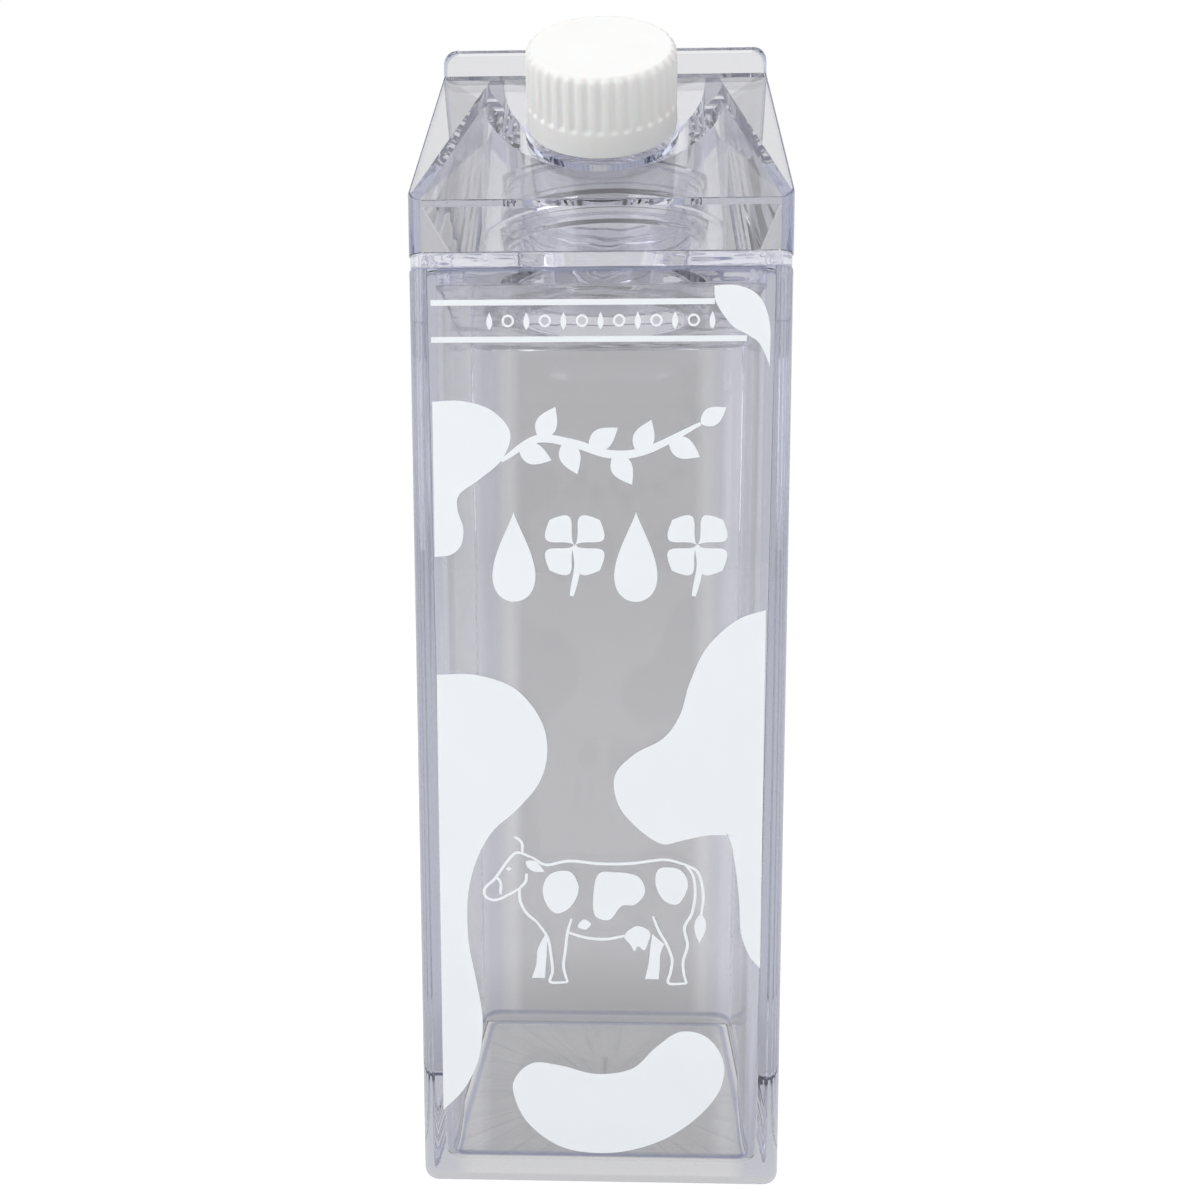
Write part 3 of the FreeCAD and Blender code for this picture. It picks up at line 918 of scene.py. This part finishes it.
class BOTTLE_OT_cow(bpy.types.Operator):
    """A plain cow drawn in line, side on, with filled spots"""

    bl_idname = "bottle.cow"
    bl_label = "Cow"

    def execute(self, context):
        line = context.scene.print_sizes.line / MM
        back = [
            (-13.2, 68.0), (-10.5, 66.6), (-6.0, 67.4), (0.0, 66.9), (6.0, 67.0), (12.5, 67.8),
            (16.6, 66.9),
        ]
        rump = [
            (16.6, 66.9), (18.2, 64.6), (18.6, 60.8), (18.0, 57.0), (16.6, 54.2), (17.2, 50.6),
            (16.4, 47.4), (16.5, 45.0), (17.1, 42.8),
        ]
        hind = [
            (17.1, 42.8), (13.6, 42.8), (13.9, 45.0), (14.2, 47.6), (13.2, 50.6), (11.6, 53.4),
            (10.4, 56.4),
        ]
        belly = [(4.8, 52.4), (1.4, 51.7), (-2.6, 51.9), (-6.4, 53.0)]
        fore_back = [(-5.6, 55.8), (-6.4, 53.0), (-6.8, 49.6), (-7.2, 46.4), (-7.0, 44.8), (-6.4, 42.8)]
        fore = [(-6.4, 42.8), (-9.8, 42.8), (-9.4, 45.0), (-9.7, 48.4), (-10.4, 52.0), (-12.4, 55.0)]
        chest = [(-12.4, 55.0), (-14.6, 57.0), (-15.7, 59.4), (-15.8, 61.8)]
        head = [
            (-13.2, 68.0), (-16.2, 69.0), (-18.2, 67.2), (-20.6, 63.8), (-22.6, 61.8), (-22.5, 60.1),
            (-20.6, 59.4), (-18.0, 60.5), (-15.8, 61.8),
        ]
        muzzle = [(-20.4, 64.2), (-19.5, 62.8), (-19.6, 60.6)]
        horn = [(-15.2, 69.0), (-15.3, 71.0), (-16.7, 72.2)]
        jaw = [(-15.8, 61.8), (-14.6, 63.2), (-14.4, 64.8)]
        tail = [(16.6, 66.9), (19.2, 65.2), (20.2, 60.8), (19.8, 56.4)]
        lines = (back, rump, hind, belly, fore_back, fore, chest, head, muzzle, horn, jaw, tail)
        drawn = [stroke(points, line, 0.25) for points in lines]
        ear = leaf(np.array([-14.6, 67.2]), -0.5, 4.2, 1.0)
        tuft = leaf(np.array([19.8, 57.0]), -1.62, 6.0, 1.15)
        patches = [ear, tuft]
        far_legs = [
            [(-10.9, 52.4), (-12.3, 49.4), (-12.6, 46.4), (-13.5, 43.6)],
            [(-10.4, 51.6), (-10.5, 49.0), (-10.7, 46.4), (-10.9, 43.6)],
            [(10.3, 52.8), (9.9, 49.8), (9.6, 46.8), (8.9, 43.6)],
            [(12.6, 50.8), (11.9, 48.8), (11.8, 46.4), (11.6, 43.6)],
        ]
        sides = [smooth_curve(points) for points in far_legs]
        patches += [ruled(*sides[:2]), ruled(*sides[2:])]
        patches.append(blot([(-18.4, 65.7), (-17.9, 66.1), (-17.4, 65.8), (-17.9, 65.3)], 5))
        spots = [
            [
                (-9.6, 64.8), (-5.8, 65.2), (-4.2, 61.8), (-5.8, 58.2), (-8.6, 56.8), (-10.6, 58.8),
                (-11.2, 62.0),
            ],
            [
                (-0.6, 64.4), (3.0, 65.2), (7.4, 64.4), (8.8, 61.4), (7.0, 58.8), (4.2, 58.4), (1.8, 55.6),
                (-1.2, 57.0),
            ],
            [(11.6, 66.0), (15.6, 65.8), (17.2, 62.8), (15.4, 59.0), (12.6, 59.6), (10.9, 62.8)],
            [
                (4.8, 52.4), (6.0, 50.6), (6.8, 49.3), (7.5, 50.3), (8.7, 49.5), (9.4, 50.9), (9.8, 53.2),
                (7.2, 54.4),
            ],
            [(-3.2, 55.6), (-1.8, 54.8), (-2.8, 53.6), (-4.4, 54.2)],
        ]
        patches += [blot(points) for points in spots]
        print_piece("print_cow", patches, drawn)
        return {"FINISHED"}


def soft_light(name, place, size, power):
    """A white softbox, its width and height given, that looks at the middle of the bottle."""
    data = bpy.data.lights.new(name, "AREA")
    data.shape = "RECTANGLE"
    data.size, data.size_y = size
    data.energy = power
    lamp = new_object(name, data)
    lamp.location = place
    across, deep, rise = np.array((0, 0, ROOF_TOP / 2)) - np.array(lamp.location)
    pitch = math.pi / 2 + math.atan2(rise, math.hypot(across, deep))
    lamp.rotation_euler = (pitch, 0, -math.atan2(across, deep))
    lamp.visible_camera = False


def seen_directly(tree):
    """1 for what is seen directly, mirrored or through glass, and 0 for light that falls on things."""
    light = add(tree, "ShaderNodeLightPath")
    seen = light.outputs["Is Camera Ray"]
    for kind in ("Is Glossy Ray", "Is Transmission Ray"):
        links = {0: seen, 1: light.outputs[kind]}
        seen = add(tree, "ShaderNodeMath", {"operation": "MAXIMUM"}, links).outputs[0]
    return seen


class BOTTLE_OT_studio(bpy.types.Operator):
    """The pale floor, the surroundings, the lamps and the camera"""

    bl_idname = "bottle.studio"
    bl_label = "Studio"

    def execute(self, context):
        studio = context.scene.studio_sizes
        white = linear(context.scene.bottle_colours.studio)
        self.make_floor(studio, white)
        self.make_world(context.scene, studio, white)
        soft_light("left_light", (-0.84, -0.7, 0.7), (1.0, 1.3), studio.key)
        soft_light("right_light", (0.84, -0.7, 0.7), (1.0, 1.3), studio.fill)
        soft_light("upper_light", (0, 0.1, 1.2), (0.8, 0.8), studio.upper)
        self.make_camera(context.scene, studio)
        return {"FINISHED"}

    def make_floor(self, studio, white):
        """White card: matte, shown white with the bottle's soft shadow on it.

        Through the plastic it shows a painted shadow: greyer close under the bottle.
        """
        made, tree, output = empty_material("white_card")
        reflected, shaded, plain = 0.8, 0.2, 0.93
        matte = add(tree, "ShaderNodeBsdfDiffuse", {"Color": dim(white, reflected)})
        shadow = add(tree, "ShaderNodeBsdfDiffuse", {"Color": dim(white, shaded)})
        place = add(tree, "ShaderNodeTexCoord").outputs["Object"]
        reach = add(tree, "ShaderNodeVectorMath", {"operation": "LENGTH"}, {0: place})
        # painted shadow under the bottle, seen only through the plastic and in reflections: darkest within 40
        # mm of the middle, gone by 100 mm
        levels = {"From Min": 40 * MM, "From Max": 100 * MM, "To Min": 0.68, "To Max": 0.95}
        levels["interpolation_type"] = "SMOOTHSTEP"
        under = add(tree, "ShaderNodeMapRange", levels, {"Value": reach.outputs["Value"]})
        direct = add(tree, "ShaderNodeLightPath").outputs["Is Camera Ray"]
        level = add(tree, "ShaderNodeMix", {"data_type": "FLOAT", 3: plain}, {0: direct, 2: under.outputs[0]})
        glow = add(tree, "ShaderNodeEmission", {"Color": white}, {"Strength": level.outputs[0]})
        lit = add(tree, "ShaderNodeAddShader", {}, {0: shadow.outputs[0], 1: glow.outputs[0]})
        links = {0: seen_directly(tree), 1: matte.outputs[0], 2: lit.outputs[0]}
        both = add(tree, "ShaderNodeMixShader", {}, links)
        tree.links.new(both.outputs[0], output.inputs["Surface"])
        room = studio.room
        corners = [(-room, -room, 0), (room, -room, 0), (room, room, 0), (-room, room, 0)]
        mesh = bpy.data.meshes.new("studio_floor")
        mesh.from_pydata(corners, [], [(0, 1, 2, 3)])
        mesh.materials.append(made)
        floor = new_object("studio_floor", mesh)

    def make_world(self, scene, studio, white):
        """Surroundings: white all round and darker above where they are seen, softer as light."""
        world = bpy.data.worlds.new("studio_surroundings")
        scene.world = world
        world.use_nodes = True
        tree = world.node_tree
        tree.nodes.clear()
        direction = add(tree, "ShaderNodeTexCoord").outputs["Generated"]
        parts = add(tree, "ShaderNodeSeparateXYZ", {}, {0: direction})
        levels = {"From Min": 0.5, "From Max": 0.6, "To Min": 1.0, "To Max": 0.25}
        levels["interpolation_type"] = "SMOOTHSTEP"
        ceiling = add(tree, "ShaderNodeMapRange", levels, {"Value": parts.outputs["Z"]})
        shown = add(tree, "ShaderNodeBackground", {"Color": white}, {"Strength": ceiling.outputs[0]})
        light = add(tree, "ShaderNodeBackground", {"Color": white, "Strength": studio.ambient})
        links = {0: seen_directly(tree), 1: light.outputs[0], 2: shown.outputs[0]}
        both = add(tree, "ShaderNodeMixShader", {}, links)
        output = add(tree, "ShaderNodeOutputWorld")
        tree.links.new(both.outputs[0], output.inputs["Surface"])

    def make_camera(self, scene, studio):
        """A camera in front of the bottle, level with its upper half and looking slightly down."""
        data = bpy.data.cameras.new("camera")
        data.lens = studio.lens
        data.shift_y = studio.shift
        data.clip_start = 0.01
        camera = new_object("camera", data)
        camera.location = (studio.side, -HALF - studio.distance, studio.height)
        camera.rotation_euler = (math.pi / 2 - studio.tilt, 0, math.atan2(studio.side, studio.distance))
        scene.camera = camera
        scene.view_settings.view_transform = "Standard"
        # light crosses up to twelve walls of clear plastic and is turned back in them many times
        scene.cycles.max_bounces = LIGHT_TURNS
        scene.cycles.glossy_bounces = LIGHT_TURNS
        scene.cycles.transmission_bounces = LIGHT_TURNS


OPERATORS = (
    BOTTLE_OT_box,
    BOTTLE_OT_neck,
    BOTTLE_OT_roof,
    BOTTLE_OT_cap,
    BOTTLE_OT_stripes,
    BOTTLE_OT_spots,
    BOTTLE_OT_motifs,
    BOTTLE_OT_cow,
    BOTTLE_OT_studio,
)


class BOTTLE_PT_panel(bpy.types.Panel):
    """Lists what the add-on builds"""

    bl_idname = "BOTTLE_PT_panel"
    bl_label = "Carton Bottle"
    bl_space_type = "VIEW_3D"
    bl_region_type = "UI"
    bl_category = "Carton Bottle"

    def draw(self, context):
        for operator in OPERATORS:
            self.layout.operator(operator.bl_idname)


GROUPS = {
    "bottle_sizes": BottleSizes,
    "cap_sizes": CapSizes,
    "print_sizes": PrintSizes,
    "bottle_colours": BottleColours,
    "studio_sizes": StudioSizes,
}


def register():
    for group in GROUPS.values():
        bpy.utils.register_class(group)
    for name, group in GROUPS.items():
        setattr(bpy.types.Scene, name, PointerProperty(type=group))
    for cls in (*OPERATORS, BOTTLE_PT_panel):
        bpy.utils.register_class(cls)


def unregister():
    for cls in (BOTTLE_PT_panel, *reversed(OPERATORS)):
        bpy.utils.unregister_class(cls)
    for name, group in reversed(GROUPS.items()):
        delattr(bpy.types.Scene, name)
        bpy.utils.unregister_class(group)


def main():
    register()
    for operator in OPERATORS:
        group, name = operator.bl_idname.split(".")
        getattr(getattr(bpy.ops, group), name)()


if __name__ == "__main__":
    main()
